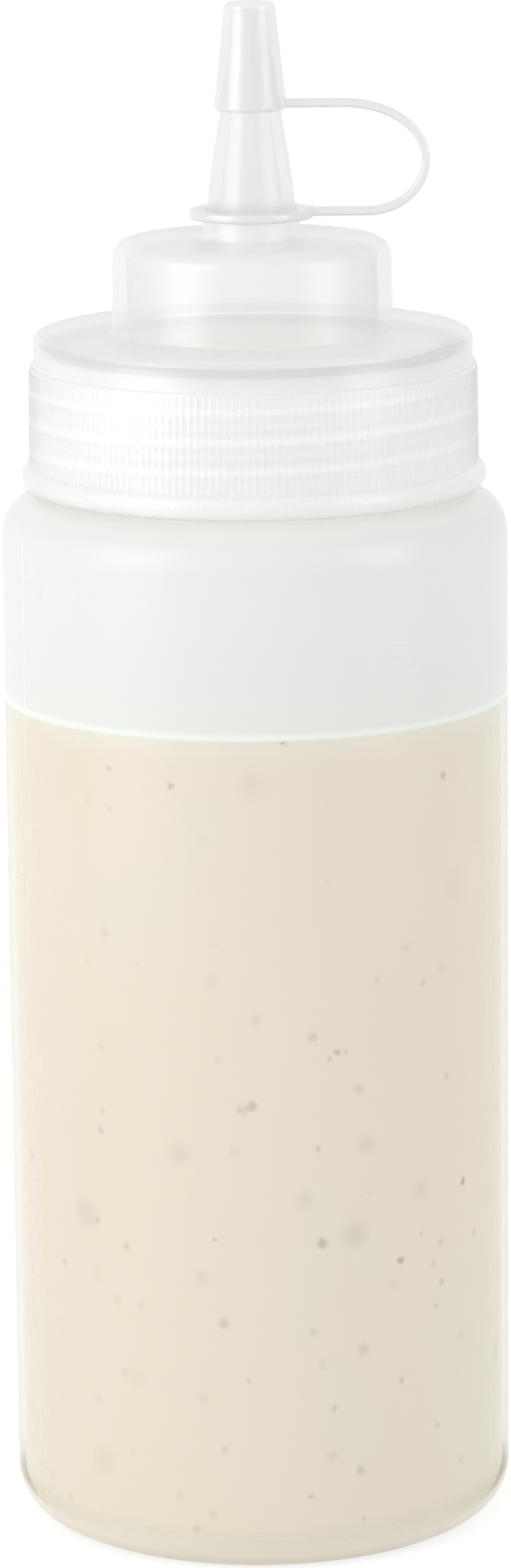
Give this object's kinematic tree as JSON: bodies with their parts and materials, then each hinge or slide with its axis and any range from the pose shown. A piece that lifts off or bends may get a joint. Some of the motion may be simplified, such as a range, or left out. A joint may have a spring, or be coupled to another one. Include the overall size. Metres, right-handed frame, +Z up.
{
  "type": "dispensing sauce bottle",
  "caption": "Soft plastic dispensing bottle of sauce with a wide screw-on nozzle cap and a small tip cap held by a ring and a looped strap.",
  "frame": {"origin": "middle of the base, on the surface that the bottle stands on", "axes": "+Z up along the bottle's axis, +X towards the strap's loop"},
  "size_m": [0.089, 0.089, 0.2708],
  "materials": {
    "soft_bottle": "frosted translucent soft plastic",
    "sauce": "cream sauce with dark flecks",
    "seal": "pale sealing ring",
    "cap_plastic": "translucent plastic with a soft gloss",
    "tether_plastic": "translucent soft plastic",
    "tip_plastic": "translucent soft plastic"
  },
  "bodies": {
    "bottle": {"bottle_body": "soft_bottle", "sauce": "sauce"},
    "cap_lift_carrier": {"cap_seal": "seal"},
    "nozzle_cap": {"screw_cap": "cap_plastic", "nozzle": "cap_plastic"},
    "tether": {"tether_ring": "tether_plastic"},
    "strap": {"strap_lower": "tether_plastic"},
    "tip": {"strap_upper": "tether_plastic", "tip_cap": "tip_plastic"}
  },
  "joints": [
    {"name": "cap_lift", "type": "slide", "parent": "bottle", "child": "cap_lift_carrier", "axis": [0, 0, 1], "range_m": [0, 0.0262]},
    {"name": "cap_turn", "type": "hinge", "parent": "cap_lift_carrier", "child": "nozzle_cap", "pos_m": [0, 0, 0.2], "axis": [0, 0, 1], "range_deg": [0, 1800]},
    {"name": "ring_swivel", "type": "hinge", "parent": "nozzle_cap", "child": "tether", "pos_m": [0, 0, 0.2344], "axis": [0, 0, 1], "continuous": true},
    {"name": "strap_root", "type": "hinge", "parent": "tether", "child": "strap", "pos_m": [0.013, 0, 0.2351], "axis": [0, -1, 0], "range_deg": [0, 62.5]},
    {"name": "strap_fold", "type": "hinge", "parent": "strap", "child": "tip", "pos_m": [0.03053, 0, 0.24632], "axis": [0, -1, 0], "range_deg": [-152, 0]}
  ],
  "couplings": [
    {"joint": "cap_lift", "follows": "cap_turn", "m_per_rad": 0.00082761},
    {"joint": "strap_fold", "follows": "strap_root", "ratio": -2.4}
  ]
}
